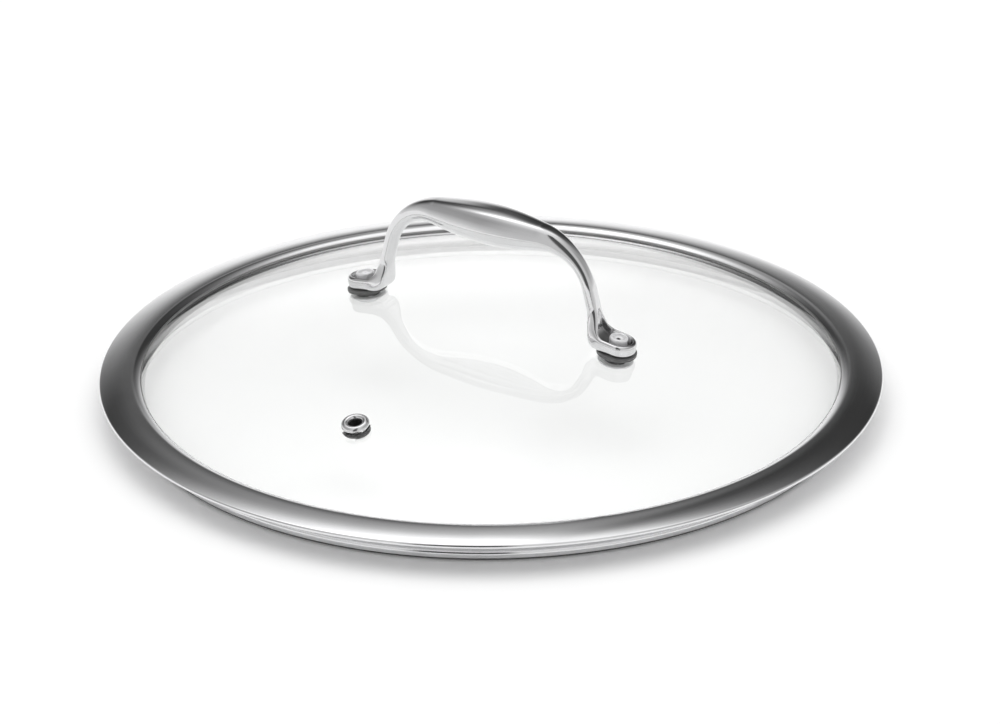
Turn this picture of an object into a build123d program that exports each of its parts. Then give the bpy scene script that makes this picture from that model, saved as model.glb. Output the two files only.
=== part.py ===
from build123d import *
import os
from math import atan2, cos, pi, radians, sin, sqrt, tan

# A domed glass lid: tempered glass in a folded steel rim, a cast bow handle on two rivets, and a steam vent.
# Millimetres. The origin is the centre of the ring the lid stands on, +Z is up and the handle runs along X.

# Driving dimensions of the rim
lid_diameter = 280.0
edge_level = 10.4
fold_radius = 0.8
flange_slope = radians(19)
crown_inset = 11.4
lip_inset = 15.1
rim_sheet = 0.5
skirt_inset = 10.5
skirt_bend = 1.0
crimp_level = 4.6
crimp_depth = 1.0
crimp_round = 0.5
bead_inset = 10.1
bead_width = 4.4
bead_round = 2.0
curl_height = 1.8
curl_round = 1.0

# Driving dimensions of the glass
glass_thickness = 4.0
glass_rise = 22.9
glass_edge_top = 11.25
glass_grip = 3.5
glass_edge_round = 0.8

# Driving dimensions of the handle
rivet_spacing = 105.7
handle_height = 74.55
grip_half_width = 8.5
grip_crown = 6.8
grip_belly = 7.9
grip_half_length = 44.0
grip_taper = 1.85
leg_half_width = 2.8
leg_half_depth = 2.4
shoulder_spacing = 75.4
shoulder_round = 20.6
heel_inset = 8.3
heel_round = 5.0
heel_length = 9.0
heel_half_width = 4.4
heel_half_depth = 1.6
foot_length = 17.7
foot_width = 12.0
foot_thickness = 4.6
foot_round = 0.9
toe_reach = 6.7
recess_wall = 1.3
recess_depth = 2.8
section_count = 27

# Driving dimensions of the rivets and their washers
shank_radius = 2.5
rivet_end_radius = 3.3
rivet_end_height = 3.2
rivet_head_radius = 4.6
rivet_head_height = 2.0
rivet_edge_round = 0.7
cup_radius = 2.1
cup_depth = 1.4
pit_radius = 0.5
pit_depth = 2.0
gasket_radius = 7.2
gasket_thickness = 1.2
bush_wall = 1.3
bush_flange_radius = 4.4
bush_flange_thickness = 0.3
washer_radius = 6.4
washer_thickness = 0.6

# Driving dimensions of the steam vent
vent_inset = 39.7
vent_bore_radius = 2.4
vent_tube_wall = 0.6
vent_flange_radius = 5.0
vent_flange_height = 1.5
vent_sleeve_wall = 0.8
vent_sleeve_flange = 0.5
vent_washer_radius = 4.6
vent_washer_height = 0.9
vent_edge_round = 1.0

# Clearances
fit_gap = 0.15
bore_gap = 0.1

# The two spheres of the glass, set by its top face at the inner edge of the rim
lid_radius = lid_diameter / 2
lip_radius = lid_radius - lip_inset
glass_radius = lip_radius + glass_grip
dome_radius = (lip_radius**2 + glass_rise**2) / (2 * glass_rise)
under_radius = dome_radius - glass_thickness
dome_centre = glass_edge_top + glass_rise - dome_radius
cut_depth = 2 * glass_thickness


def glass_top(radius):
    """Height of the upper face of the glass at a distance from the lid's axis."""
    return dome_centre + sqrt(dome_radius**2 - radius**2)


def glass_under(radius):
    """Height of the lower face of the glass at a distance from the lid's axis."""
    return dome_centre + sqrt(under_radius**2 - radius**2)


def glass_plane(x, y):
    """Plane that touches the upper face of the glass, with local X pointing away from the lid's axis."""
    rise = sqrt(dome_radius**2 - x**2 - y**2)
    outward = Vector(x, y, 0).normalized()
    normal = Vector(x, y, rise).normalized()
    tangent = outward - normal * outward.dot(normal)
    return Plane(origin=(x, y, dome_centre + rise), x_dir=tangent, z_dir=normal)


def face_gap(radius, sphere_radius):
    """Room that a flat washer needs from the glass, which curves away under it."""
    return radius**2 / (2 * sphere_radius) + fit_gap


def finish(builder, name):
    """Label a finished piece and write it to its own file."""
    builder.part.label = name
    export_step(builder.part, f"parts/{name}.step")


os.makedirs("parts", exist_ok=True)
sides = {"left": glass_plane(-rivet_spacing / 2, 0), "right": glass_plane(rivet_spacing / 2, 0)}
vent_plane = glass_plane(0, vent_inset - lip_radius)

# Levels along the rivet, from the upper face of the glass
foot_level = gasket_thickness + fit_gap
floor_level = foot_level + foot_thickness - recess_depth
bush_level = -glass_thickness - face_gap(bush_flange_radius, under_radius)
washer_level = bush_level - bush_flange_thickness
head_level = washer_level - washer_thickness
hole_radius = shank_radius + bore_gap + bush_wall + bore_gap

# Levels along the vent, from the upper face of the glass
vent_tube_radius = vent_bore_radius + vent_tube_wall
vent_sleeve_radius = vent_tube_radius + bore_gap + vent_sleeve_wall
vent_hole_radius = vent_sleeve_radius + bore_gap
vent_sleeve_level = -glass_thickness - face_gap(vent_flange_radius, under_radius)
vent_washer_level = vent_sleeve_level - vent_sleeve_flange
vent_foot_level = vent_washer_level - vent_washer_height

# Glass disc: a spherical cap of even thickness with two rivet holes and a vent hole
with BuildPart() as glass_disc:
    with BuildSketch(Plane.XZ):
        with BuildLine():
            top_arc = ThreePointArc(
                (0, glass_top(0)),
                (glass_radius / 2, glass_top(glass_radius / 2)),
                (glass_radius, glass_top(glass_radius)),
            )
            under_arc = ThreePointArc(
                (0, glass_under(0)),
                (glass_radius / 2, glass_under(glass_radius / 2)),
                (glass_radius, glass_under(glass_radius)),
            )
            Line(top_arc @ 1, under_arc @ 1)
            Line(top_arc @ 0, under_arc @ 0)
        make_face()
    revolve(axis=Axis.Z)
    fillet(glass_disc.edges().filter_by(GeomType.CIRCLE), glass_edge_round)
    for plane in sides.values():
        with BuildSketch(plane):
            Circle(hole_radius)
        extrude(amount=cut_depth, both=True, mode=Mode.SUBTRACT)
    with BuildSketch(vent_plane):
        Circle(vent_hole_radius)
    extrude(amount=cut_depth, both=True, mode=Mode.SUBTRACT)
finish(glass_disc, "glass_disc")

# Rim band: one strip of sheet that rises from the glass over a crown and slopes to a folded edge,
# then runs back as the flat seat and down as a skirt, pinched in under the glass, to a rolled bead
crown_radius = lid_radius - crown_inset
skirt_radius = lid_radius - skirt_inset
bead_radius = lid_radius - bead_inset
fold_centre = lid_radius - fold_radius
seat_level = edge_level - fold_radius
flange_end = (fold_centre + fold_radius * sin(flange_slope), edge_level + fold_radius * cos(flange_slope))
crown = (crown_radius, flange_end[1] + (flange_end[0] - crown_radius) * tan(flange_slope / 2))
lip_end = (lip_radius, glass_edge_top + fit_gap + rim_sheet / 2)
lip_slope = 2 * atan2(crown[1] - lip_end[1], crown[0] - lip_end[0])
with BuildPart() as rim_band:
    with BuildSketch(Plane.XZ):
        with BuildLine():
            TangentArc(lip_end, crown, tangent=(cos(lip_slope), sin(lip_slope)))
            TangentArc(crown, flange_end, tangent=(1, 0))
            ThreePointArc(flange_end, (lid_radius, edge_level), (fold_centre, seat_level))
            FilletPolyline(
                (fold_centre, seat_level),
                (skirt_radius, seat_level),
                (skirt_radius, crimp_level + crimp_depth),
                (skirt_radius - crimp_depth, crimp_level),
                (bead_radius, crimp_level - crimp_depth - skirt_inset + bead_inset),
                (bead_radius, 0),
                (bead_radius - bead_width, 0),
                (bead_radius - bead_width, curl_height),
                radius=[skirt_bend, crimp_round, crimp_round, bead_round, bead_round, curl_round],
            )
            offset(amount=rim_sheet, side=Side.LEFT)
        make_face()
    revolve(axis=Axis.Z)
finish(rim_band, "rim_band")

# Bow of the handle, from heel to heel through two rounded shoulders
foot_middle = foot_level + foot_thickness / 2
heel_corner = sides["right"].from_local_coords(Vector(-heel_inset, 0, foot_middle))
heel_end = sides["right"].from_local_coords(Vector(heel_round - heel_inset, 0, foot_middle))
axis_height = handle_height - grip_crown
shoulder = (shoulder_spacing / 2, axis_height)
right_points = [shoulder, (heel_corner.X, heel_corner.Z), (heel_end.X, heel_end.Z)]
left_points = [(-x, z) for x, z in reversed(right_points)]
with BuildLine(Plane.XZ) as bow:
    bends = [heel_round, shoulder_round, shoulder_round, heel_round]
    FilletPolyline(*left_points, *right_points, radius=bends)
bow_path = bow.wire()
half_bow = bow_path.length / 2


def bow_section(distance):
    """Half width, crown and belly of the handle at a distance along the bow from its middle."""
    grip = cos(pi / 2 * min(1, abs(distance) / grip_half_length)) ** grip_taper
    heel = sin(pi / 2 * max(0, 1 - (half_bow - abs(distance)) / heel_length)) ** 2
    flare = (heel_half_width - leg_half_width) * heel
    flat = (heel_half_depth - leg_half_depth) * heel
    width = leg_half_width + (grip_half_width - leg_half_width) * grip + flare
    crown = leg_half_depth + (grip_crown - leg_half_depth) * grip + flat
    belly = leg_half_depth + (grip_belly - leg_half_depth) * grip + flat
    return width, crown, belly


# Handle: two oval feet and the bow, cast as one piece, with a recess round each rivet end
with BuildPart() as handle:
    for plane in sides.values():
        with BuildSketch(plane.offset(foot_level)):
            with Locations((toe_reach - foot_length / 2, 0)):
                SlotOverall(foot_length, foot_width)
        extrude(amount=foot_thickness)
    for plane in sides.values():
        fillet(handle.faces().filter_by(plane).edges(), foot_round)
    for number in range(section_count):
        distance = bow_path.length * number / (section_count - 1)
        centre = bow_path.position_at(distance, PositionMode.LENGTH)
        direction = bow_path.tangent_at(distance, PositionMode.LENGTH)
        width, crown, belly = bow_section(distance - half_bow)
        with BuildSketch(Plane(origin=centre, x_dir=(0, 1, 0), z_dir=direction)):
            with BuildLine():
                ThreePointArc((-width, 0), (0, crown), (width, 0))
                ThreePointArc((width, 0), (0, -belly), (-width, 0))
            make_face()
    loft()
    for plane in sides.values():
        with BuildSketch(plane.offset(foot_level)):
            with Locations((toe_reach - foot_length / 2, 0)):
                SlotOverall(2 * foot_length, foot_width)
        extrude(amount=-foot_thickness, mode=Mode.SUBTRACT)
    recess_end = toe_reach - recess_wall
    recess_start = heel_round - heel_inset - recess_wall
    for plane in sides.values():
        with BuildSketch(plane.offset(foot_level + foot_thickness)):
            with Locations(((recess_end + recess_start) / 2, 0)):
                SlotOverall(recess_end - recess_start, foot_width - 2 * recess_wall)
        extrude(amount=-recess_depth, mode=Mode.SUBTRACT)
        with BuildSketch(plane):
            Circle(shank_radius + bore_gap)
        extrude(amount=foot_level + foot_thickness, mode=Mode.SUBTRACT)
finish(handle, "handle")

# The stack at each foot, from the gasket on top of the glass down to the rivet's head below it
for side, plane in sides.items():
    with BuildPart() as foot_gasket:
        with BuildSketch(plane.offset(fit_gap)):
            Circle(gasket_radius)
            Circle(shank_radius + bore_gap, mode=Mode.SUBTRACT)
        extrude(amount=gasket_thickness)
    finish(foot_gasket, f"{side}_foot_gasket")

    with BuildPart() as hole_bush:
        with BuildSketch(plane):
            Circle(hole_radius - bore_gap)
        extrude(amount=bush_level)
        with BuildSketch(plane.offset(bush_level)):
            Circle(bush_flange_radius)
        extrude(amount=-bush_flange_thickness)
        with BuildSketch(plane):
            Circle(shank_radius + bore_gap)
        extrude(amount=washer_level, mode=Mode.SUBTRACT)
    finish(hole_bush, f"{side}_hole_bush")

    with BuildPart() as backing_washer:
        with BuildSketch(plane.offset(washer_level)):
            Circle(washer_radius)
            Circle(shank_radius + bore_gap, mode=Mode.SUBTRACT)
        extrude(amount=-washer_thickness)
    finish(backing_washer, f"{side}_backing_washer")

    with BuildPart() as rivet:
        with BuildSketch(plane.offset(head_level)):
            Circle(shank_radius)
        extrude(amount=floor_level - head_level)
        with BuildSketch(plane.offset(head_level)):
            Circle(rivet_head_radius)
        extrude(amount=-rivet_head_height)
        with BuildSketch(plane.offset(floor_level)):
            Circle(rivet_end_radius)
        extrude(amount=rivet_end_height)
        ends = rivet.faces().filter_by(plane).sort_by(Axis.Z)
        fillet(ends[0].edges() + ends[-1].edges(), rivet_edge_round)
        for radius, depth in ((cup_radius, cup_depth), (pit_radius, pit_depth)):
            with BuildSketch(plane.offset(floor_level + rivet_end_height)):
                Circle(radius)
            extrude(amount=-depth, mode=Mode.SUBTRACT)
    finish(rivet, f"{side}_rivet")

# Steam vent: an eyelet through the glass, a flanged sleeve round its tube and a washer below
with BuildPart() as vent_eyelet:
    with BuildSketch(vent_plane.offset(vent_foot_level)):
        Circle(vent_tube_radius)
    extrude(amount=-vent_foot_level + fit_gap)
    with BuildSketch(vent_plane.offset(fit_gap)):
        Circle(vent_flange_radius)
    extrude(amount=vent_flange_height)
    flange_top = vent_eyelet.faces().filter_by(vent_plane).sort_by(Axis.Z)[-1]
    fillet(flange_top.edges(), vent_edge_round)
    with BuildSketch(vent_plane):
        Circle(vent_bore_radius)
    extrude(amount=cut_depth, both=True, mode=Mode.SUBTRACT)
finish(vent_eyelet, "vent_eyelet")

with BuildPart() as vent_sleeve:
    with BuildSketch(vent_plane):
        Circle(vent_sleeve_radius)
    extrude(amount=vent_sleeve_level)
    with BuildSketch(vent_plane.offset(vent_sleeve_level)):
        Circle(vent_flange_radius)
    extrude(amount=-vent_sleeve_flange)
    with BuildSketch(vent_plane):
        Circle(vent_tube_radius + bore_gap)
    extrude(amount=vent_washer_level, mode=Mode.SUBTRACT)
finish(vent_sleeve, "vent_sleeve")

with BuildPart() as vent_washer:
    with BuildSketch(vent_plane.offset(vent_washer_level)):
        Circle(vent_washer_radius)
        Circle(vent_tube_radius + bore_gap, mode=Mode.SUBTRACT)
    extrude(amount=-vent_washer_height)
finish(vent_washer, "vent_washer")
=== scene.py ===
from math import atan2, cos, pi, radians, sin, sqrt, tan

import bmesh
import bpy
import numpy as np
from mathutils import Matrix, Vector


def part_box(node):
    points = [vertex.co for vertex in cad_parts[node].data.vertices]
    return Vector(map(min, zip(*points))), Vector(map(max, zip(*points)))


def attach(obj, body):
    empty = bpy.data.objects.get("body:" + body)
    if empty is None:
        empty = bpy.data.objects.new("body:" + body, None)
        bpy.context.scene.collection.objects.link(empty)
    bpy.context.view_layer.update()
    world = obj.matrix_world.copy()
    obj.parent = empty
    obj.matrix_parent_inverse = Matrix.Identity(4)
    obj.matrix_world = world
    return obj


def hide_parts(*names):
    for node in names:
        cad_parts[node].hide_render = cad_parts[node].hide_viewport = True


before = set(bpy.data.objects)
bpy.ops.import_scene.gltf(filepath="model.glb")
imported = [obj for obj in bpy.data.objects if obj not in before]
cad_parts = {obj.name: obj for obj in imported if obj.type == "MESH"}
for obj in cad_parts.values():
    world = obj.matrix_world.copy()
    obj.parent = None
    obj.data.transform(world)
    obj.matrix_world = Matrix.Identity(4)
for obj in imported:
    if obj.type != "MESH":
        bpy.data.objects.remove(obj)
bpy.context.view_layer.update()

# A domed glass lid with a folded steel rim, a bow handle on two rivets and a steam vent.
# Metres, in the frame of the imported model: +Z up, handle along X, vent on the -Y side.
mm = 0.001

# Sizes read from the frame
lid_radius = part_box("rim_band")[1].x
glass_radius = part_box("glass_disc")[1].x
glass_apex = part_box("glass_disc")[1].z

# Rim
edge_level = 10.4 * mm
fold_radius = 0.8 * mm
flange_slope = radians(19)
crown_inset = 11.4 * mm
lip_inset = 15.1 * mm
rim_sheet = 0.5 * mm
skirt_inset = 10.5 * mm
skirt_bend = 1.0 * mm
crimp_level = 4.6 * mm
crimp_depth = 1.0 * mm
crimp_round = 0.5 * mm
bead_inset = 10.1 * mm
bead_width = 4.4 * mm
bead_round = 2.0 * mm
curl_height = 1.8 * mm
curl_round = 1.0 * mm
# Sizes of the painted shade and painted light on the rim
bead_shadow_height = 1.2 * mm
lip_shade_width = 0.35 * mm
shade_level = 2.8 * mm

# Glass
glass_thickness = 4.0 * mm
glass_rise = 22.9 * mm
glass_edge_round = 0.8 * mm

# Handle
rivet_spacing = 105.7 * mm
axis_height = 67.75 * mm
grip_half_width = 8.5 * mm
grip_crown = 6.5 * mm
grip_belly = 8.0 * mm
grip_half_length = 44.0 * mm
grip_taper = 1.85
grip_top_power = 3.6
grip_under_power = 1.5
grip_cut = 0.09
cut_fade = 4
leg_half_width = 2.8 * mm
leg_half_depth = 2.6 * mm
leg_power = 2.6
leg_under_power = 1.6
shoulder_spacing = 75.4 * mm
shoulder_round = 20.6 * mm
heel_inset = 7.5 * mm
heel_round = 6.0 * mm
heel_fill = 1.1 * mm
heel_spread = 7.0 * mm
foot_half_width = 6.0 * mm
foot_thickness = 4.6 * mm
foot_power = 6.0
toe_reach = 6.7 * mm
dish_wall = 1.2 * mm
dish_depth = 2.8 * mm
dish_ramp = 1.3 * mm
dish_start = -20.0 * mm
dish_fade = 16.0 * mm

# Rivets and washers
shank_radius = 2.5 * mm
rivet_end_radius = 3.3 * mm
rivet_end_height = 3.7 * mm
rivet_head_radius = 4.6 * mm
rivet_head_height = 2.0 * mm
rivet_head_power = 2.6
rivet_edge_round = 0.7 * mm
cup_radius = 2.1 * mm
cup_depth = 1.0 * mm
cup_round = 0.45 * mm
pit_radius = 0.5 * mm
pit_depth = 2.0 * mm
pit_round = 0.125 * mm
pit_shade_radius = 0.7 * mm
gasket_radius = 7.2 * mm
gasket_thickness = 1.2 * mm
bush_wall = 1.3 * mm
bush_flange_radius = 4.4 * mm
bush_flange_thickness = 0.3 * mm
washer_radius = 6.4 * mm
washer_thickness = 0.6 * mm
washer_round = 0.25 * mm

# Steam vent
vent_inset = 39.7 * mm
vent_bore_radius = 2.4 * mm
vent_tube_wall = 0.6 * mm
vent_flange_radius = 5.0 * mm
vent_flange_height = 1.5 * mm
vent_edge_round = 1.4 * mm
vent_roll = 1.1 * mm
vent_sleeve_wall = 0.8 * mm
vent_sleeve_flange = 0.5 * mm
vent_washer_radius = 4.6 * mm
vent_washer_height = 0.9 * mm

# Clearances
fit_gap = 0.15 * mm
bore_gap = 0.1 * mm

# Mesh fineness
lathe_steps = 360
small_lathe_steps = 96
arc_step = radians(6)
bow_step = radians(0.5)
bow_reach = 0.2 * mm
dense_samples = 500
half_ring = 56
leg_stations = 180
foot_stations = 120
toe_stations = 40
profile_steps = 28
sheet_end_steps = 6
dome_rings = 48
cap_steps = 14
crease_angle = radians(35)
handle_crease = radians(60)
weld_distance = 1e-7

# Camera, from the photograph: image in pixels, distances in metres
image_width = 1000
focal_pixels = 5311.7
sensor_width = 36.0
camera_distance = 1.9
camera_elevation = radians(24.863)
camera_azimuth = radians(-56.741)
camera_roll = radians(-0.594)
aim_right = 3.25 * mm
aim_up = 3.17 * mm
clip_near = 0.05
clip_far = 100.0

# Derived shape of the glass: two spheres with one centre
lip_radius = lid_radius - lip_inset
dome_radius = (lip_radius**2 + glass_rise**2) / (2 * glass_rise)
under_radius = dome_radius - glass_thickness
dome_centre = glass_apex - dome_radius
glass_edge_top = glass_apex - glass_rise

# Derived levels above the glass at a foot
foot_level = gasket_thickness + fit_gap
floor_level = foot_level + foot_thickness - dish_depth
rivet_top = floor_level + rivet_end_height


def smooth(t):
    """Smooth step from 0 to 1."""
    t = min(1.0, max(0.0, t))
    return t * t * (3 - 2 * t)


def glass_frame(x, y):
    """Matrix of a frame on the upper face of the glass: local Z is its normal, local X points outward."""
    rise = sqrt(dome_radius**2 - x**2 - y**2)
    normal = Vector((x, y, rise)).normalized()
    outward = Vector((x, y, 0)).normalized()
    tangent = (outward - normal * outward.dot(normal)).normalized()
    side = normal.cross(tangent)
    origin = Vector((x, y, dome_centre + rise))
    return Matrix.Translation(origin) @ Matrix((tangent, side, normal)).transposed().to_4x4()


def face_gap(radius, sphere_radius):
    """Room that a flat washer needs from the glass, which curves away under it."""
    return radius**2 / (2 * sphere_radius) + fit_gap


def arc(centre, radius, start, end, step=arc_step):
    """Points of an arc in a profile, from one angle to another."""
    count = max(2, round(abs(end - start) / step))
    turns = [start + (end - start) * i / count for i in range(count + 1)]
    return [(centre[0] + radius * cos(t), centre[1] + radius * sin(t)) for t in turns]


def rounded_path(corners, radii, step=arc_step):
    """An open path through corners, with an arc of the given radius at each inner one."""
    path = [corners[0]]
    for before, corner, after, radius in zip(corners, corners[1:], corners[2:], radii):
        back = (Vector(before) - Vector(corner)).normalized()
        ahead = (Vector(after) - Vector(corner)).normalized()
        half = back.angle(ahead) / 2
        centre = Vector(corner) + (back + ahead).normalized() * radius / sin(half)
        first = Vector(corner) + back * radius / tan(half) - centre
        last = Vector(corner) + ahead * radius / tan(half) - centre
        start = atan2(first.y, first.x)
        turn = (atan2(last.y, last.x) - start + pi) % (2 * pi) - pi
        path += arc(centre, radius, start, start + turn, step)
    return path + [corners[-1]]


def rounded_loop(corners, radius):
    """A closed profile with each corner off the axis rounded."""
    closed = [corners[-1]] + corners + [corners[0]]
    loop = []
    for before, corner, after in zip(closed, closed[1:], closed[2:]):
        if corner[0] < bore_gap:
            loop.append(corner)
        else:
            loop += rounded_path([before, corner, after], [radius])[1:-1]
    return loop


def make_object(name, vertices, faces, sharp_angle, hollow=None):
    """A smooth-shaded mesh object with outward normals; a given depth of hollow is kept at each point."""
    mesh = bpy.data.meshes.new(name)
    mesh.from_pydata(vertices, [], faces)
    if hollow is not None:
        mesh.attributes.new("hollow", "FLOAT", "POINT").data.foreach_set("value", hollow)
    editor = bmesh.new()
    editor.from_mesh(mesh)
    bmesh.ops.remove_doubles(editor, verts=editor.verts, dist=weld_distance)
    bmesh.ops.recalc_face_normals(editor, faces=editor.faces)
    editor.to_mesh(mesh)
    editor.free()
    mesh.shade_smooth()
    mesh.set_sharp_from_angle(angle=sharp_angle)
    piece = bpy.data.objects.new(name, mesh)
    bpy.context.scene.collection.objects.link(piece)
    return piece


def lathe(name, loop, steps):
    """Turn a closed profile of (radius, height) points round local Z."""
    count = len(loop)
    vertices = []
    for step in range(steps):
        turn = 2 * pi * step / steps
        vertices += [(r * cos(turn), r * sin(turn), z) for r, z in loop]
    faces = []
    for step in range(steps):
        here = step * count
        there = (step + 1) % steps * count
        for i in range(count):
            j = (i + 1) % count
            if max(loop[i][0], loop[j][0]) > weld_distance:
                faces.append((here + i, there + i, there + j, here + j))
    return make_object(name, vertices, faces, crease_angle)


def seat(piece, node, material):
    """Let a piece stand for a node of the frame."""
    piece.data.materials.clear()
    piece.data.materials.append(material)
    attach(piece, "root")
    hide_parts(node)


# Materials: ranges of noise and of the masks for painted light and shade, and what the finishes share
noise_low = 0.3
noise_high = 0.7
marks_low = 0.35
marks_high = 0.65
smear_low = 0.45
smear_high = 0.75
cool_tint = 1.01
mark_share = 0.6
hollow_low = 0.45
hollow_high = 0.95
facing_low = -0.1
facing_high = 0.3
steel_relief = 0.02 * mm
silicone_relief = 0.05 * mm
silicone_smooth = 0.42
silicone_rough = 0.6
glass_colour = (0.995, 0.997, 0.996, 1)
glass_tint = (0.97, 0.973, 0.97, 1)
glass_index = 1.5
glass_relief = 0.2 * mm
glass_rough = 0.015


class Graph:
    """A small helper that adds nodes to a node tree and links them."""

    def __init__(self, tree):
        self.tree = tree
        tree.nodes.clear()

    def add(self, kind, inputs=(), **settings):
        node = self.tree.nodes.new(kind)
        for key, value in settings.items():
            setattr(node, key, value)
        for key, value in dict(inputs).items():
            self.set(node, key, value)
        return node

    def set(self, node, key, value):
        if isinstance(value, bpy.types.NodeSocket):
            self.tree.links.new(value, node.inputs[key])
        else:
            node.inputs[key].default_value = value

    def math(self, operation, first, second=0.0):
        node = self.add("ShaderNodeMath", {0: first, 1: second}, operation=operation)
        return node.outputs[0]

    def span(self, value, low, high, to_low, to_high):
        """Map a value from one range to another, smoothly and within its ends."""
        node = self.add("ShaderNodeMapRange", interpolation_type="SMOOTHSTEP")
        for key, item in zip(range(5), (value, low, high, to_low, to_high)):
            self.set(node, key, item)
        return node.outputs[0]

    def ramp(self, value, stops):
        """Grey levels along a value from 0 to 1; places come first, since the points sort themselves."""
        node = self.add("ShaderNodeValToRGB", {"Fac": value})
        points = node.color_ramp.elements
        while len(points) < len(stops):
            points.new(0.5)
        for point, (position, level) in zip(points, stops):
            point.position = position
        for point, (position, level) in zip(points, stops):
            point.color = (level, level, level, 1)
        return node.outputs["Color"]


def new_material(name):
    """A material with an empty node tree, and a helper for its nodes."""
    material = bpy.data.materials.new(name)
    material.use_nodes = True
    return material, Graph(material.node_tree)


def around_axis(graph):
    """Distance from local Z, level along it, and the vector away from it."""
    place = graph.add("ShaderNodeTexCoord").outputs["Object"]
    parts = graph.add("ShaderNodeSeparateXYZ", {0: place}).outputs
    away = graph.add("ShaderNodeCombineXYZ", {0: parts[0], 1: parts[1]}).outputs[0]
    reach = graph.add("ShaderNodeVectorMath", {0: away}, operation="LENGTH").outputs["Value"]
    return reach, parts[2], away


def grain(graph, turned):
    """Coordinates for fine finishing marks: rings round local Z on turned metal, else plain object space."""
    if not turned:
        return graph.add("ShaderNodeTexCoord").outputs["Object"]
    reach, level = around_axis(graph)[:2]
    return graph.add("ShaderNodeCombineXYZ", {0: reach, 1: level}).outputs[0]


def bore_shade(radius, depth):
    """A mask that is 1 inside a bore round local Z below a depth, where painted shade darkens it, else 0."""
    def mask(graph):
        reach, level = around_axis(graph)[:2]
        inside = graph.span(reach, radius, radius + bore_gap, 1.0, 0.0)
        below = graph.span(level, depth - 2 * bore_gap, depth + 2 * bore_gap, 1.0, 0.0)
        return graph.math("MULTIPLY", inside, below)
    return mask


def hollow_shade(graph):
    """A mask that is 1 in the deep part of a foot's dish, which is painted in shade, else 0."""
    depth = graph.add("ShaderNodeAttribute", attribute_name="hollow").outputs["Fac"]
    return graph.span(depth, hollow_low, hollow_high, 0.0, 1.0)


def lip_shade(graph):
    """A mask that is 1 on the cut edge of the lip, which is painted in shade, else 0."""
    reach, level = around_axis(graph)[:2]
    border = lip_radius + lip_shade_width
    inside = graph.span(reach, border - bore_gap, border + bore_gap, 1.0, 0.0)
    return graph.math("MULTIPLY", inside, graph.math("GREATER_THAN", level, edge_level))


def skirt_shade(low, high, side):
    """A mask that is 1 on the rim between two levels, on faces that look outward or, with side -1, inward; it
    marks where light and shade are painted on the rim.
    """
    def mask(graph):
        level, away = around_axis(graph)[1:]
        outward = graph.add("ShaderNodeVectorMath", {0: away}, operation="NORMALIZE").outputs["Vector"]
        normal = graph.add("ShaderNodeTexCoord").outputs["Normal"]
        facing = graph.add("ShaderNodeVectorMath", {0: outward, 1: normal}, operation="DOT_PRODUCT")
        chosen = graph.math("MULTIPLY", facing.outputs["Value"], side)
        share = graph.span(chosen, facing_low, facing_high, 0.0, 1.0)
        above = graph.span(level, low - fit_gap, low + fit_gap, 0.0, 1.0)
        below = graph.span(level, high - fit_gap, high + fit_gap, 1.0, 0.0)
        return graph.math("MULTIPLY", share, graph.math("MULTIPLY", above, below))
    return mask


def steel(name, light, dark, roughness, spread, turned, mark_scale, bump, metallic=1.0, patches=()):
    """Stainless steel with fine marks and faint smears; a patch paints its own tone where its mask is 1, and
    the patches are painted light and painted shade.
    """
    material, graph = new_material(name)
    place = grain(graph, turned)
    marks = graph.add("ShaderNodeTexNoise", {"Vector": place, "Scale": mark_scale, "Detail": 3.0})
    cloud = graph.add("ShaderNodeTexNoise", {"Scale": 45.0, "Detail": 4.0, "Roughness": 0.6})
    graph.set(cloud, "Vector", graph.add("ShaderNodeTexCoord").outputs["Object"])
    tone = graph.add("ShaderNodeMix", data_type="RGBA")
    graph.set(tone, 0, graph.span(cloud.outputs["Fac"], noise_low, noise_high, 0.0, 1.0))
    graph.set(tone, 6, (light, light, light * cool_tint, 1))
    graph.set(tone, 7, (dark, dark, dark * cool_tint, 1))
    fine_part = graph.math("MULTIPLY", marks.outputs["Fac"], mark_share)
    broad_part = graph.math("MULTIPLY", cloud.outputs["Fac"], 1 - mark_share)
    mixed = graph.math("ADD", fine_part, broad_part)
    rough = graph.span(mixed, marks_low, marks_high, roughness - spread, roughness + spread)
    relief = graph.add("ShaderNodeBump", {"Strength": bump, "Distance": steel_relief})
    graph.set(relief, "Height", marks.outputs["Fac"])
    colour = tone.outputs[2]
    for patch in patches:
        share = patch["mask"](graph)
        paint = (patch["tone"], patch["tone"], patch["tone"], 1)
        colour = graph.add("ShaderNodeMix", {0: share, 6: colour, 7: paint}, data_type="RGBA").outputs[2]
        rough = graph.add("ShaderNodeMix", {0: share, 2: rough, 3: patch["roughness"]}).outputs[0]
        metallic = graph.add("ShaderNodeMix", {0: share, 2: metallic, 3: patch["metallic"]}).outputs[0]
    shader = graph.add("ShaderNodeBsdfPrincipled", {"Base Color": colour, "Roughness": rough})
    graph.set(shader, "Metallic", metallic)
    graph.set(shader, "Normal", relief.outputs["Normal"])
    graph.add("ShaderNodeOutputMaterial", {"Surface": shader.outputs["BSDF"]})
    return material


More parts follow.
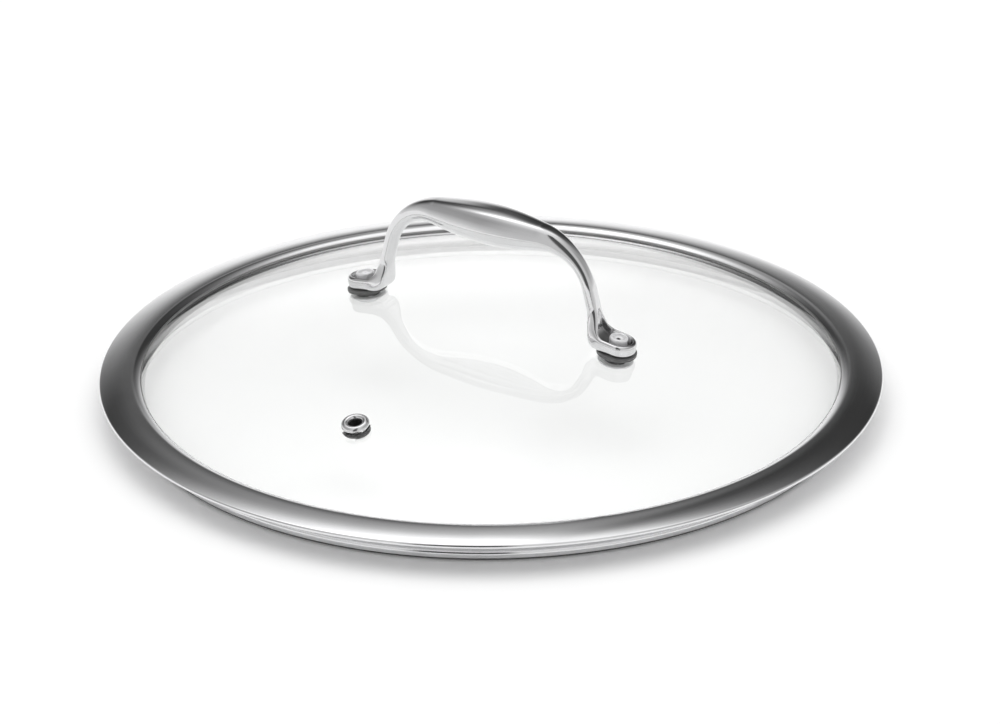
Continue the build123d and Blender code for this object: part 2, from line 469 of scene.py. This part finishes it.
def rubber(name, light, dark):
    """Dark matt silicone with a fine moulded texture."""
    material, graph = new_material(name)
    place = graph.add("ShaderNodeTexCoord").outputs["Object"]
    cloud = graph.add("ShaderNodeTexNoise", {"Vector": place, "Scale": 600.0, "Detail": 4.0})
    fine = graph.add("ShaderNodeTexNoise", {"Vector": place, "Scale": 6000.0, "Detail": 2.0})
    tone = graph.add("ShaderNodeMix", data_type="RGBA")
    graph.set(tone, 0, cloud.outputs["Fac"])
    graph.set(tone, 6, (dark, dark, dark, 1))
    graph.set(tone, 7, (light, light, light, 1))
    relief = graph.add("ShaderNodeBump", {"Strength": 0.3, "Distance": silicone_relief})
    graph.set(relief, "Height", fine.outputs["Fac"])
    shader = graph.add("ShaderNodeBsdfPrincipled", {"Base Color": tone.outputs[2]})
    rough = graph.span(cloud.outputs["Fac"], noise_low, noise_high, silicone_smooth, silicone_rough)
    graph.set(shader, "Roughness", rough)
    graph.set(shader, "Normal", relief.outputs["Normal"])
    graph.add("ShaderNodeOutputMaterial", {"Surface": shader.outputs["BSDF"]})
    return material


def clear_glass(name):
    """Clear tempered glass with a faint waviness, which lets lamp light and bounced light through."""
    material, graph = new_material(name)
    place = graph.add("ShaderNodeTexCoord").outputs["Object"]
    wave = graph.add("ShaderNodeTexNoise", {"Vector": place, "Scale": 18.0, "Detail": 1.0})
    smear = graph.add("ShaderNodeTexNoise", {"Vector": place, "Scale": 60.0, "Detail": 4.0})
    relief = graph.add("ShaderNodeBump", {"Strength": 0.05, "Distance": glass_relief})
    graph.set(relief, "Height", wave.outputs["Fac"])
    shader = graph.add("ShaderNodeBsdfPrincipled", {"Base Color": glass_colour})
    graph.set(shader, "Transmission Weight", 1.0)
    graph.set(shader, "IOR", glass_index)
    graph.set(shader, "Roughness", graph.span(smear.outputs["Fac"], smear_low, smear_high, 0.0, glass_rough))
    graph.set(shader, "Normal", relief.outputs["Normal"])
    path = graph.add("ShaderNodeLightPath").outputs
    passing = graph.math("MAXIMUM", path["Is Shadow Ray"], path["Is Diffuse Ray"])
    through = graph.add("ShaderNodeBsdfTransparent", {"Color": glass_tint})
    both = graph.add("ShaderNodeMixShader", {0: passing})
    graph.set(both, 1, shader.outputs["BSDF"])
    graph.set(both, 2, through.outputs["BSDF"])
    graph.add("ShaderNodeOutputMaterial", {"Surface": both.outputs["Shader"]})
    return material


# Painted light: the rim's inner skirt below shade_level is painted near white and matt, in place of the pale
# reflection it shows through the glass
inner_skirt_painted_light = skirt_shade(-fit_gap, shade_level, -1.0)
# Painted shade: a dark band on the inner skirt from shade_level up to the flange, where the flange shades it
inner_shade = skirt_shade(shade_level, edge_level, -1.0)
# Painted shadow: the outer face of the bead near the floor is painted dark, standing in for the contact
# shadow it reflects
bead_painted_shadow = skirt_shade(-fit_gap, bead_shadow_height, 1.0)
# Painted shade: a dark dot inside the pit of each rivet's set end
pit_painted_shade = bore_shade(pit_shade_radius, rivet_top - cup_depth + bore_gap)
# Painted shade: the inside of the vent's bore, below its roll, is painted nearly black
vent_bore_painted_shade = bore_shade(vent_bore_radius + bore_gap, fit_gap + vent_flange_height - vent_roll)
rim_patches = [
    {"mask": inner_skirt_painted_light, "tone": 0.97, "roughness": 0.6, "metallic": 0.3},
    {"mask": inner_shade, "tone": 0.05, "roughness": 0.6, "metallic": 0.5},
    {"mask": bead_painted_shadow, "tone": 0.12, "roughness": 0.4, "metallic": 1.0},
    {"mask": lip_shade, "tone": 0.38, "roughness": 0.5, "metallic": 1.0},
]
# Painted shade: the deep floor of each foot's dish is painted dark
dish_patches = [{"mask": hollow_shade, "tone": 0.2, "roughness": 0.4, "metallic": 1.0}]
pit_patches = [{"mask": pit_painted_shade, "tone": 0.03, "roughness": 0.8, "metallic": 0.0}]
vent_patches = [{"mask": vent_bore_painted_shade, "tone": 0.02, "roughness": 1.0, "metallic": 0.0}]
turned_finish = {"turned": True, "mark_scale": 7000.0, "bump": 0.2}
rim_steel = steel("rim_steel", light=0.86, dark=0.82, roughness=0.11, spread=0.03,
                  turned=True, mark_scale=9000.0, bump=0.12, patches=rim_patches)
handle_steel = steel("handle_steel", light=0.74, dark=0.70, roughness=0.09, spread=0.03,
                     turned=False, mark_scale=2500.0, bump=0.08, patches=dish_patches)
fitting_steel = steel("fitting_steel", light=0.92, dark=0.86, roughness=0.34, spread=0.06, **turned_finish)
rivet_steel = steel("rivet_steel", light=0.95, dark=0.88, roughness=0.34, spread=0.06,
                    metallic=0.4, patches=pit_patches, **turned_finish)
washer_steel = steel("washer_steel", light=0.95, dark=0.9, roughness=0.5, spread=0.08,
                     metallic=0.2, **turned_finish)
vent_steel = steel("vent_steel", light=0.8, dark=0.74, roughness=0.16, spread=0.05,
                   patches=vent_patches, **turned_finish)
silicone = rubber("silicone", light=0.2, dark=0.11)
dark_silicone = rubber("dark_silicone", light=0.06, dark=0.035)
glass = clear_glass("glass")


# Rim band: one strip from the lip on the glass, over the crown, round the fold and down to its bead
crown_radius = lid_radius - crown_inset
skirt_radius = lid_radius - skirt_inset
bead_radius = lid_radius - bead_inset
fold_centre = lid_radius - fold_radius
seat_level = edge_level - fold_radius
flange_end = (fold_centre + fold_radius * sin(flange_slope), edge_level + fold_radius * cos(flange_slope))
crown_level = flange_end[1] + (flange_end[0] - crown_radius) * tan(flange_slope / 2)
lip_level = glass_edge_top + fit_gap + rim_sheet / 2
lip_slope = 2 * atan2(crown_level - lip_level, crown_radius - lip_radius)
lip_curve = (crown_radius - lip_radius) / sin(lip_slope)
flange_curve = (flange_end[0] - crown_radius) / sin(flange_slope)


def rim_line():
    """The outer face of the strip, from the lip to the curl inside the bead."""
    line = []
    for i in range(profile_steps):
        tilt = lip_slope * (1 - i / profile_steps)
        line.append((crown_radius - lip_curve * sin(tilt), crown_level - lip_curve * (1 - cos(tilt))))
    for i in range(profile_steps):
        tilt = flange_slope * i / profile_steps
        line.append((crown_radius + flange_curve * sin(tilt), crown_level - flange_curve * (1 - cos(tilt))))
    line += arc((fold_centre, edge_level), fold_radius, pi / 2 - flange_slope, -pi / 2)
    pinch = crimp_level - crimp_depth - skirt_inset + bead_inset
    corners = [
        (fold_centre, seat_level),
        (skirt_radius, seat_level),
        (skirt_radius, crimp_level + crimp_depth),
        (skirt_radius - crimp_depth, crimp_level),
        (bead_radius, pinch),
        (bead_radius, 0),
        (bead_radius - bead_width, 0),
        (bead_radius - bead_width, curl_height),
    ]
    bends = [skirt_bend, crimp_round, crimp_round, bead_round, bead_round, curl_round]
    return line + rounded_path(corners, bends)[1:]


def sheet_loop(line, thickness):
    """A closed profile: the line, and the same line moved inward by the thickness, with rounded ends."""
    points = np.array(line)
    steps = np.gradient(points, axis=0)
    steps /= np.linalg.norm(steps, axis=1)[:, None]
    inward = np.stack([steps[:, 1], -steps[:, 0]], 1)
    inner = points + inward * thickness
    ends = []
    for index, sign in ((-1, 1), (0, -1)):
        middle = points[index] + inward[index] * thickness / 2
        across = inward[index] * sign * thickness / 2
        along = steps[index] * sign * thickness / 2
        turns = [pi * k / sheet_end_steps for k in range(1, sheet_end_steps)]
        ends.append([tuple(middle - across * cos(t) + along * sin(t)) for t in turns])
    return line + ends[0] + [tuple(p) for p in inner[::-1]] + ends[1]


rim = lathe("rim_sheet", sheet_loop(rim_line(), rim_sheet), lathe_steps)
seat(rim, "rim_band", rim_steel)


# Glass dome with its holes
foot_frames = {"left": glass_frame(-rivet_spacing / 2, 0), "right": glass_frame(rivet_spacing / 2, 0)}
vent_frame = glass_frame(0, vent_inset - lip_radius)
hole_radius = shank_radius + bore_gap + bush_wall + bore_gap
vent_tube_radius = vent_bore_radius + vent_tube_wall
vent_sleeve_radius = vent_tube_radius + bore_gap + vent_sleeve_wall
vent_hole_radius = vent_sleeve_radius + bore_gap


def sphere_arc(radius, first, last):
    """Points of a sphere's profile between two distances from the axis."""
    stations = [first + (last - first) * i / dome_rings for i in range(dome_rings + 1)]
    return [(r, dome_centre + sqrt(radius**2 - r**2)) for r in stations]


def glass_loop():
    """Section of the dome: both faces and a rounded edge."""
    inner_edge = glass_radius - glass_edge_round
    top = sphere_arc(dome_radius, 0, inner_edge)
    under = sphere_arc(under_radius, inner_edge, 0)
    corners = [
        top[-1],
        (glass_radius, top[-1][1] - inner_edge / dome_radius * glass_edge_round),
        (glass_radius, under[0][1] - inner_edge / under_radius * glass_edge_round),
        under[0],
    ]
    rounds = [glass_edge_round / 2] * 2
    return top + rounded_path(corners, rounds)[1:-1] + under


def cut_holes(piece, holes):
    """Cut round holes along local Z of the given frames."""
    cutters = []
    for number, (place, radius) in enumerate(holes):
        depth = 3 * glass_thickness
        loop = [(0, -depth), (radius, -depth), (radius, depth), (0, depth)]
        cutter = lathe(f"cutter_{number}", loop, small_lathe_steps)
        cutter.matrix_world = place
        modifier = piece.modifiers.new(cutter.name, "BOOLEAN")
        modifier.object = cutter
        modifier.solver = "EXACT"
        cutters.append(cutter)
    bpy.context.view_layer.update()
    shaped = bpy.data.meshes.new_from_object(piece.evaluated_get(bpy.context.evaluated_depsgraph_get()))
    piece.modifiers.clear()
    piece.data = shaped
    for cutter in cutters:
        bpy.data.objects.remove(cutter)


dome = lathe("glass_dome", glass_loop(), lathe_steps)
cut_holes(dome, [(place, hole_radius) for place in foot_frames.values()] + [(vent_frame, vent_hole_radius)])
seat(dome, "glass_disc", glass)


# Handle: one skin from toe to toe along the bow
foot_middle = foot_level + foot_thickness / 2
right_frame = foot_frames["right"]


def in_bow(u):
    """Place in the XZ plane of a point in the middle of the right foot, so far outward of its rivet."""
    point = right_frame @ Vector((u, 0, foot_middle))
    return point.x, point.z


leg_line = Vector(in_bow(-heel_inset)) - Vector((shoulder_spacing / 2, axis_height))
foot_line = Vector(in_bow(toe_reach)) - Vector(in_bow(-heel_inset))
heel_turn = leg_line.angle(foot_line)


def bow_line():
    """The middle line of the handle, densely, from the left toe to the right toe, with its lengths."""
    half = [(shoulder_spacing / 2, axis_height), in_bow(-heel_inset), in_bow(toe_reach)]
    corners = [(-x, z) for x, z in reversed(half)] + half
    rounds = [heel_round, shoulder_round, shoulder_round, heel_round]
    points = np.array(rounded_path(corners, rounds, bow_step))
    lengths = np.concatenate([[0], np.cumsum(np.linalg.norm(np.diff(points, axis=0), axis=1))])
    return points, lengths


def dish(u, v, width):
    """Depth of the hollow in a foot at a place outward of the rivet and across; it runs out up the leg."""
    toe = max(0, u - (toe_reach - foot_half_width))
    inside = np.clip((width - dish_wall - np.sqrt(v**2 + toe**2)) / dish_ramp, 0, 1)
    return dish_depth * smooth((u - dish_start) / dish_fade) * inside**2 * (3 - 2 * inside)


def half_section(width, height, power, toe, hollow, cut=0.0):
    """Evenly spaced points over one half of a section, from side to side; a cut leaves the sides sloping."""
    v = sqrt(max(0, width**2 - toe**2)) * np.cos(np.linspace(0, pi, dense_samples))
    wide = width * (1 + cut)
    edge = (1 - (1 + cut) ** -power) ** (1 / power)
    z = np.clip(1 - (np.sqrt(v**2 + toe**2) / wide) ** power, 0, 1) ** (1 / power)
    z = height * (z - edge) / (1 - edge) - hollow(v)
    lengths = np.concatenate([[0], np.cumsum(np.hypot(np.diff(v), np.diff(z)))])
    marks = np.linspace(0, lengths[-1], half_ring + 1)
    return np.stack([np.interp(marks, lengths, v), np.interp(marks, lengths, z)], 1)


def bow_section(distance, half_length):
    """Closed section of the handle at a distance along the bow from its middle, and the depth of its dish."""
    u = toe_reach - (half_length - distance)
    toe = max(0, u - (toe_reach - foot_half_width))
    arc_end = half_length - toe_reach - heel_inset + heel_round * tan(heel_turn / 2)
    grip = cos(pi / 2 * min(1, distance / grip_half_length)) ** grip_taper
    foot = smooth((distance - arc_end + 2 * heel_spread) / (2 * heel_spread))
    width = leg_half_width + (grip_half_width - leg_half_width) * grip
    width += (foot_half_width - width) * foot
    crown = leg_half_depth + (grip_crown - leg_half_depth) * grip
    crown += (foot_thickness / 2 - crown) * foot
    belly = leg_half_depth + (grip_belly - leg_half_depth) * grip
    belly += (foot_thickness / 2 - belly) * foot
    bend = (distance - arc_end) / (heel_round * heel_turn) + 1
    belly += heel_fill * sin(pi * min(1, max(0, bend))) ** 2
    top_power = leg_power + (grip_top_power - leg_power) * grip + (foot_power - leg_power) * foot
    under_power = leg_under_power + (grip_under_power - leg_under_power) * grip
    under_power += (foot_power - under_power) * foot
    cut = grip_cut * (1 - foot) ** cut_fade
    top = half_section(width, crown, top_power, toe, lambda v: dish(u, v, width), cut)
    under = half_section(width, belly, under_power, toe, lambda v: 0 * v)
    under = under[::-1] * (1, -1)
    depths = dish(u, top[:, 0], width) / dish_depth
    return np.concatenate([top, under[1:-1]]), np.concatenate([depths, np.zeros(len(under) - 2)])


def bow_stations(half_length):
    """Distances from the middle: even along grip and leg, closer over the foot, closing in on the toe."""
    toe_centre = half_length - foot_half_width
    heel = toe_centre - 4 * heel_spread
    grip = np.linspace(0, heel, leg_stations)[:-1]
    foot = np.linspace(heel, toe_centre, foot_stations)[:-1]
    toe = toe_centre + foot_half_width * np.sin(np.linspace(0, pi / 2, toe_stations))[:-1]
    return np.concatenate([grip, foot, toe])


def build_handle():
    """Sections set across the bow's middle line, joined into one skin that closes at both toes."""
    points, lengths = bow_line()
    half_length = lengths[-1] / 2
    right = bow_stations(half_length)
    stations = np.concatenate([-right[:0:-1], right])
    vertices = [(points[0][0], 0, points[0][1])]
    hollow = [0.0]
    count = 2 * half_ring
    for distance in stations:
        spot = half_length + distance
        nearby = np.clip([spot - bow_reach, spot + bow_reach], 0, lengths[-1])
        x, z = (np.interp(spot, lengths, points[:, k]) for k in (0, 1))
        ahead = np.array([np.diff(np.interp(nearby, lengths, points[:, k]))[0] for k in (0, 1)])
        ahead /= np.linalg.norm(ahead)
        section, depths = bow_section(abs(distance), half_length)
        hollow += list(depths)
        vertices += [(x - h * ahead[1], v, z + h * ahead[0]) for v, h in section]
    vertices.append((points[-1][0], 0, points[-1][1]))
    hollow.append(0.0)
    faces = []
    for ring in range(len(stations) - 1):
        here = 1 + ring * count
        for i in range(count):
            j = (i + 1) % count
            faces.append((here + i, here + j, here + count + j, here + count + i))
    last = 1 + (len(stations) - 1) * count
    for i in range(count):
        j = (i + 1) % count
        faces.append((0, 1 + j, 1 + i))
        faces.append((last + i, last + j, len(vertices) - 1))
    return make_object("bow_handle", vertices, faces, handle_crease, hollow)


seat(build_handle(), "handle", handle_steel)


# Rivets with their gaskets, bushes and washers
bush_level = -glass_thickness - face_gap(bush_flange_radius, under_radius)
washer_level = bush_level - bush_flange_thickness
head_level = washer_level - washer_thickness
bore_radius = shank_radius + bore_gap


def dome_cap(radius, base, height, power):
    """Profile of a rounded button, from its middle out to its base."""
    cap = []
    for i in range(cap_steps + 1):
        turn = pi / 2 * i / cap_steps
        cap.append((radius * sin(turn) ** (2 / power), base + height * cos(turn) ** (2 / power)))
    return cap


def rivet_loop():
    """Section of a rivet, from the cup in its set end down to its head."""
    top = rivet_top
    corners = [
        (0, top - pit_depth),
        (pit_radius, top - pit_depth),
        (pit_radius, top - cup_depth),
        (cup_radius, top - cup_depth),
        (cup_radius, top),
        (rivet_end_radius, top),
        (rivet_end_radius, floor_level),
    ]
    bends = [pit_round, pit_round, 2 * cup_round, cup_round, rivet_edge_round]
    head = dome_cap(rivet_head_radius, head_level, -rivet_head_height, rivet_head_power)
    shank = [(shank_radius, floor_level), (shank_radius, head_level)]
    return rounded_path(corners, bends) + shank + head[::-1]


def ring_loop(inner, outer, low, high, radius):
    """Section of a flat washer with rounded edges."""
    return rounded_loop([(inner, low), (outer, low), (outer, high), (inner, high)], radius)


def bush_loop():
    """Section of a flanged bush in the glass."""
    outer = hole_radius - bore_gap
    corners = [
        (bore_radius, washer_level),
        (bush_flange_radius, washer_level),
        (bush_flange_radius, bush_level),
        (outer, bush_level),
        (outer, 0),
        (bore_radius, 0),
    ]
    return rounded_loop(corners, bush_flange_thickness / 3)


def place_piece(name, loop, place, node, material):
    """Turn a small fitting about the axis of its frame and let it stand for its node."""
    piece = lathe(name, loop, small_lathe_steps)
    piece.matrix_world = place
    seat(piece, node, material)


for side, place in foot_frames.items():
    gasket = ring_loop(bore_radius, gasket_radius, fit_gap, fit_gap + gasket_thickness, washer_round)
    washer = ring_loop(bore_radius, washer_radius, head_level, washer_level, washer_round)
    place_piece(f"{side}_gasket", gasket, place, f"{side}_foot_gasket", silicone)
    place_piece(f"{side}_bush", bush_loop(), place, f"{side}_hole_bush", silicone)
    place_piece(f"{side}_washer", washer, place, f"{side}_backing_washer", washer_steel)
    place_piece(f"{side}_stud", rivet_loop(), place, f"{side}_rivet", rivet_steel)


# Steam vent
vent_sleeve_level = -glass_thickness - face_gap(vent_flange_radius, under_radius)
vent_washer_level = vent_sleeve_level - vent_sleeve_flange
vent_foot_level = vent_washer_level - vent_washer_height


def eyelet_loop():
    """Section of the eyelet: a rounded flange that rolls into the tube."""
    top = fit_gap + vent_flange_height
    corners = [
        (vent_bore_radius, vent_foot_level),
        (vent_bore_radius, top),
        (vent_flange_radius, top),
        (vent_flange_radius, fit_gap),
    ]
    skin = rounded_path(corners, [vent_roll, vent_edge_round])
    return skin + [(vent_tube_radius, fit_gap), (vent_tube_radius, vent_foot_level)]


def sleeve_loop():
    """Section of the sleeve: a tube in the glass and a flange under it."""
    corners = [
        (vent_tube_radius + bore_gap, vent_washer_level),
        (vent_flange_radius, vent_washer_level),
        (vent_flange_radius, vent_sleeve_level),
        (vent_sleeve_radius, vent_sleeve_level),
        (vent_sleeve_radius, 0),
        (vent_tube_radius + bore_gap, 0),
    ]
    return rounded_loop(corners, washer_round / 2)


under_ring = ring_loop(vent_tube_radius + bore_gap, vent_washer_radius, vent_foot_level, vent_washer_level,
                       washer_round)
place_piece("vent_ring", eyelet_loop(), vent_frame, "vent_eyelet", vent_steel)
place_piece("vent_liner", sleeve_loop(), vent_frame, "vent_sleeve", dark_silicone)
place_piece("vent_under_ring", under_ring, vent_frame, "vent_washer", fitting_steel)


# Floor: pale and plain, lifted to white for the camera and for what metal and glass show of it
floor_reach = 8.0
floor_front = 0.34
floor_albedo = 0.95
floor_lift = 0.08
far_direction = Vector((-cos(camera_azimuth), -sin(camera_azimuth), 0))
right_direction = Vector((-sin(camera_azimuth), cos(camera_azimuth), 0))


def build_floor():
    """A flat sheet that runs from just before the lid to far behind it."""
    corners = [(-floor_reach, -floor_front), (floor_reach, -floor_front), (floor_reach, floor_reach),
               (-floor_reach, floor_reach)]
    vertices = [right_direction * x + far_direction * y for x, y in corners]
    floor = make_object("floor", vertices, [(0, 1, 2, 3)], crease_angle)
    material, graph = new_material("floor")
    path = graph.add("ShaderNodeLightPath").outputs
    seen = graph.math("MAXIMUM", path["Is Camera Ray"], path["Is Glossy Ray"])
    seen = graph.math("MAXIMUM", seen, path["Is Transmission Ray"])
    paper = graph.add("ShaderNodeBsdfDiffuse", {"Color": (floor_albedo, floor_albedo, floor_albedo, 1)})
    lift = graph.add("ShaderNodeEmission", {"Strength": graph.math("MULTIPLY", seen, floor_lift)})
    both = graph.add("ShaderNodeAddShader", {0: paper.outputs[0], 1: lift.outputs[0]})
    graph.add("ShaderNodeOutputMaterial", {"Surface": both.outputs[0]})
    floor.data.materials.append(material)


build_floor()

# Studio light, as levels by elevation in degrees: a long soft box high up beyond the lid, mostly to the left,
# a pale backdrop low down, dark walls between them, even light from the sides and from behind,
# and one dark strip behind the camera
studio_gain = 4.0
far_levels = [(-3, 1.15), (6, 1.12), (12, 1.0), (17, 0.62), (20, 0.38), (23, 0.15), (26, 0.08), (29, 0.17),
              (33, 0.32), (39, 0.43), (46, 0.6), (51, 0.9), (55, 1.2), (59, 1.7), (68, 1.7), (75, 1.2),
              (90, 1.0)]
left_levels = [(-3, 1.0), (4, 0.75), (9, 0.5), (17, 0.2), (22, 0.1), (26, 0.045), (34, 0.08), (38, 0.15),
               (42, 0.3), (47, 0.55), (51, 0.85), (55, 1.1), (59, 1.7), (68, 1.7), (75, 1.2), (90, 1.0)]
right_levels = [(-3, 1.0), (4, 0.75), (9, 0.5), (17, 0.2), (22, 0.1), (26, 0.035), (34, 0.045), (40, 0.075),
                (46, 0.16), (51, 0.33), (55, 0.6), (60, 1.05), (68, 1.2), (90, 1.0)]
side_levels = [(-3, 1.0), (6, 0.7), (20, 0.45), (40, 0.4), (52, 0.5), (62, 0.65), (75, 0.95), (90, 1.0)]
behind_levels = [(-40, 0.6), (0, 0.7), (60, 0.7), (75, 0.9), (90, 1.0)]
left_blend = (-20, 0)
right_blend = (0, 9)
side_blend = (35, 75)
behind_blend = (110, 150)
strip_from = radians(-6)
strip_to = radians(24)
strip_edge = radians(3)
strip_top = radians(76)
strip_level = 0.1
lamp_strength = 1.65
lamp_spread = radians(120)
lamp_elevation = radians(60)


def build_world():
    """The studio round the lid, and plain white where the camera sees past it or through the glass."""
    world = bpy.data.worlds.new("studio")
    world.use_nodes = True
    bpy.context.scene.world = world
    graph = Graph(world.node_tree)
    direction = graph.add("ShaderNodeTexCoord").outputs["Generated"]
    parts = {}
    for name, axis in (("far", far_direction), ("right", right_direction), ("up", (0, 0, 1))):
        dot = graph.add("ShaderNodeVectorMath", {0: direction, 1: axis}, operation="DOT_PRODUCT")
        parts[name] = dot.outputs["Value"]
    height = graph.math("ARCSINE", parts["up"])
    elevation = graph.math("DIVIDE", graph.math("ADD", height, pi / 2), pi)
    azimuth = graph.math("ARCTAN2", parts["right"], parts["far"])
    turned = graph.math("ABSOLUTE", azimuth)

    def level(levels):
        return graph.ramp(elevation, [((angle + 90) / 180, value / studio_gain) for angle, value in levels])

    def blend(value, limits, first, second):
        low, high = limits
        weight = graph.span(value, radians(low), radians(high), 0.0, 1.0)
        return graph.add("ShaderNodeMix", {0: weight, 6: first, 7: second}, data_type="RGBA").outputs[2]

    front = blend(azimuth, left_blend, level(left_levels), level(far_levels))
    front = blend(azimuth, right_blend, front, level(right_levels))
    front = blend(turned, side_blend, front, level(side_levels))
    whole = blend(turned, behind_blend, front, level(behind_levels))
    leftward = graph.math("MULTIPLY", parts["right"], -1.0)
    behind = graph.math("ARCTAN2", leftward, graph.math("MULTIPLY", parts["far"], -1.0))
    strip = graph.span(behind, strip_from - strip_edge, strip_from + strip_edge, 0.0, 1.0)
    for value, limit in ((behind, strip_to), (height, strip_top)):
        before = graph.span(value, limit - strip_edge, limit + strip_edge, 1.0, 0.0)
        strip = graph.math("MULTIPLY", strip, before)
    strip_grey = strip_level / studio_gain
    dark = (strip_grey, strip_grey, strip_grey, 1)
    whole = graph.add("ShaderNodeMix", {0: strip, 6: whole, 7: dark}, data_type="RGBA").outputs[2]
    path = graph.add("ShaderNodeLightPath").outputs
    seen = graph.math("MAXIMUM", path["Is Camera Ray"], path["Is Transmission Ray"])
    studio = graph.add("ShaderNodeBackground", {"Color": whole, "Strength": studio_gain})
    white = graph.add("ShaderNodeBackground", {"Color": (1, 1, 1, 1), "Strength": 1.0})
    both = graph.add("ShaderNodeMixShader", {0: seen, 1: studio.outputs[0], 2: white.outputs[0]})
    graph.add("ShaderNodeOutputWorld", {"Surface": both.outputs[0]})


build_world()


def build_lamp():
    """A soft overhead lamp beyond the lid; it lights floor and matt pieces, and no mirror shows it."""
    light = bpy.data.lights.new("overhead", "SUN")
    light.energy = lamp_strength
    light.angle = lamp_spread
    lamp = bpy.data.objects.new("overhead", light)
    bpy.context.scene.collection.objects.link(lamp)
    toward = far_direction * cos(lamp_elevation) + Vector((0, 0, sin(lamp_elevation)))
    lamp.rotation_euler = toward.to_track_quat("Z", "Y").to_euler()
    lamp.visible_glossy = False


build_lamp()


def build_camera():
    """A camera at the photograph's viewing angle."""
    lens = bpy.data.cameras.new("camera")
    lens.sensor_width = sensor_width
    lens.lens = focal_pixels / image_width * sensor_width
    lens.clip_start = clip_near
    lens.clip_end = clip_far
    back = Vector((
        cos(camera_elevation) * cos(camera_azimuth),
        cos(camera_elevation) * sin(camera_azimuth),
        sin(camera_elevation),
    ))
    level_up = back.cross(right_direction)
    right = right_direction * cos(camera_roll) + level_up * sin(camera_roll)
    up = level_up * cos(camera_roll) - right_direction * sin(camera_roll)
    target = Vector((0, 0, edge_level)) + right * aim_right + up * aim_up
    camera = bpy.data.objects.new("camera", lens)
    bpy.context.scene.collection.objects.link(camera)
    turn = Matrix((right, up, back)).transposed().to_4x4()
    camera.matrix_world = Matrix.Translation(target + back * camera_distance) @ turn
    bpy.context.scene.camera = camera


build_camera()
bpy.context.scene.view_settings.view_transform = "Standard"
